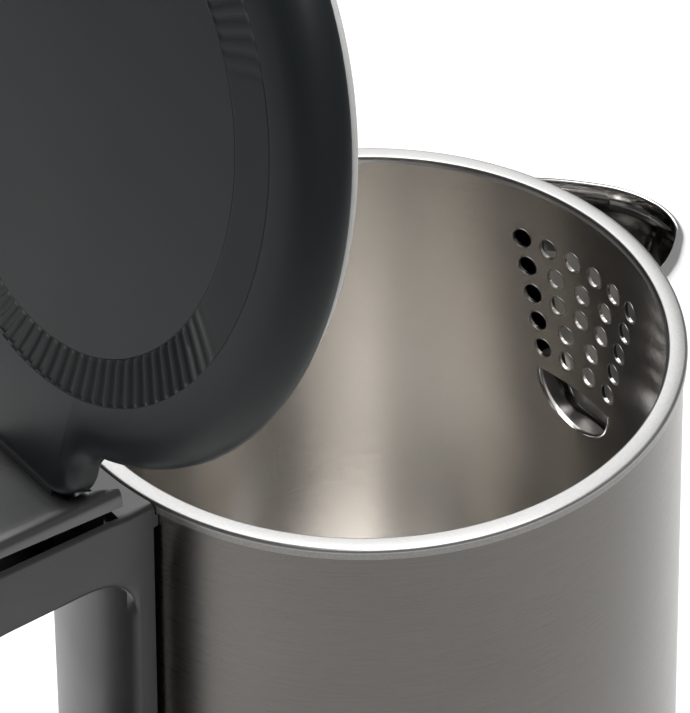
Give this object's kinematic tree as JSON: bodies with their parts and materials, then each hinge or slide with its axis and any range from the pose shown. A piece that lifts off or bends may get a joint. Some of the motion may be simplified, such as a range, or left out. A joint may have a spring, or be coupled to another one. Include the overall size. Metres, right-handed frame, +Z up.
{
  "type": "electric kettle",
  "caption": "Cordless electric kettle, tall tapered double steel wall, strainer behind a V spout, sprung round lid, closed loop handle and round power base.",
  "frame": {"origin": "centre of the power base underside at table height, under the pot axis", "axes": "+Z up, +X towards the spout, handle towards -X"},
  "size_m": [0.2322, 0.161, 0.3737],
  "materials": {
    "brushed_steel": "fine horizontal brushing",
    "pot_steel": "satin, softly reflective",
    "polished_steel": "polished",
    "dark_plastic": "satin moulded, dark grey",
    "handle_plastic": "satin moulded, dark grey",
    "black_plastic": "fine texture",
    "silicone": "soft, translucent grey",
    "rubber": "matt",
    "aluminium": "cast",
    "brass": "plain",
    "lens": "frosted",
    "black_wire": "drawn wire"
  },
  "bodies": {
    "power_base": {"base_top_shell": "handle_plastic", "base_bottom_plate": "black_plastic", "connector_post": "black_plastic", "base_contact_ring": "brass", "cord_inlet": "rubber", "base_foot_1": "rubber", "base_foot_2": "rubber", "base_foot_3": "rubber", "base_foot_4": "rubber", "base_screw_1": "black_wire", "base_screw_2": "black_wire", "base_screw_3": "black_wire"},
    "swivel_collar": {"swivel_collar": "black_plastic"},
    "kettle": {"inner_pot": "pot_steel", "outer_shell": "brushed_steel", "spout": "polished_steel", "base_ring": "dark_plastic", "bottom_cover": "black_plastic", "heater_plate": "aluminium", "heating_element": "black_wire", "thermostat": "black_plastic", "bimetal_disc": "brass", "ntc_probe": "polished_steel", "kettle_socket": "black_plastic", "socket_contact_ring": "brass", "socket_pin": "brass", "handle_body": "handle_plastic", "handle_top_cover": "dark_plastic", "grip_cover": "dark_plastic", "hinge_pin": "black_wire", "lid_spring": "black_wire", "steam_tube": "silicone", "button_spring": "black_wire", "switch_pivot": "black_wire", "indicator_lens": "lens", "bottom_screw_1": "black_wire", "bottom_screw_2": "black_wire", "bottom_screw_3": "black_wire", "handle_screw_1": "black_wire", "handle_screw_2": "black_wire"},
    "lid": {"lid_cover": "dark_plastic", "lid_grille_ring": "dark_plastic", "lid_centre_disc": "dark_plastic", "lid_liner": "handle_plastic", "lid_seal": "silicone", "lid_screw_1": "black_wire", "lid_screw_2": "black_wire", "lid_screw_3": "black_wire"},
    "release_button": {"release_button": "dark_plastic"},
    "latch": {"latch_bar": "black_plastic"},
    "power_switch": {"power_switch": "dark_plastic"},
    "switch_rod": {"switch_rod": "black_wire"}
  },
  "joints": [
    {"name": "kettle_swivel", "type": "hinge", "parent": "power_base", "child": "swivel_collar", "pos_m": [0, 0, 0.0243], "axis": [0, 0, 1], "continuous": true},
    {"name": "kettle_lift", "type": "slide", "parent": "swivel_collar", "child": "kettle", "axis": [0, 0, 1], "range_m": [0, 0.1]},
    {"name": "lid_hinge", "type": "hinge", "parent": "kettle", "child": "lid", "pos_m": [-0.0841, 0, 0.22775], "axis": [0, -1, 0], "range_deg": [-73.5, 0], "stiffness_Nm_per_rad": 0.08, "springref_deg": 28.65},
    {"name": "button_press", "type": "slide", "parent": "kettle", "child": "release_button", "axis": [0, 0, -1], "range_m": [0, 0.003], "stiffness_N_per_m": 300, "springref_m": -0.002, "deforming": ["button_spring"]},
    {"name": "latch_slide", "type": "slide", "parent": "kettle", "child": "latch", "axis": [-1, 0, 0], "range_m": [0, 0.003]},
    {"name": "switch_tilt", "type": "hinge", "parent": "kettle", "child": "power_switch", "pos_m": [-0.082, 0, 0.039], "axis": [0, -1, 0], "range_deg": [0, 14]},
    {"name": "switch_rod_slide", "type": "slide", "parent": "kettle", "child": "switch_rod", "axis": [0, 0, 1], "range_m": [0, 0.004]}
  ],
  "couplings": [
    {"joint": "latch_slide", "follows": "button_press", "ratio": 1},
    {"joint": "switch_rod_slide", "follows": "switch_tilt", "m_per_rad": 0.016}
  ]
}
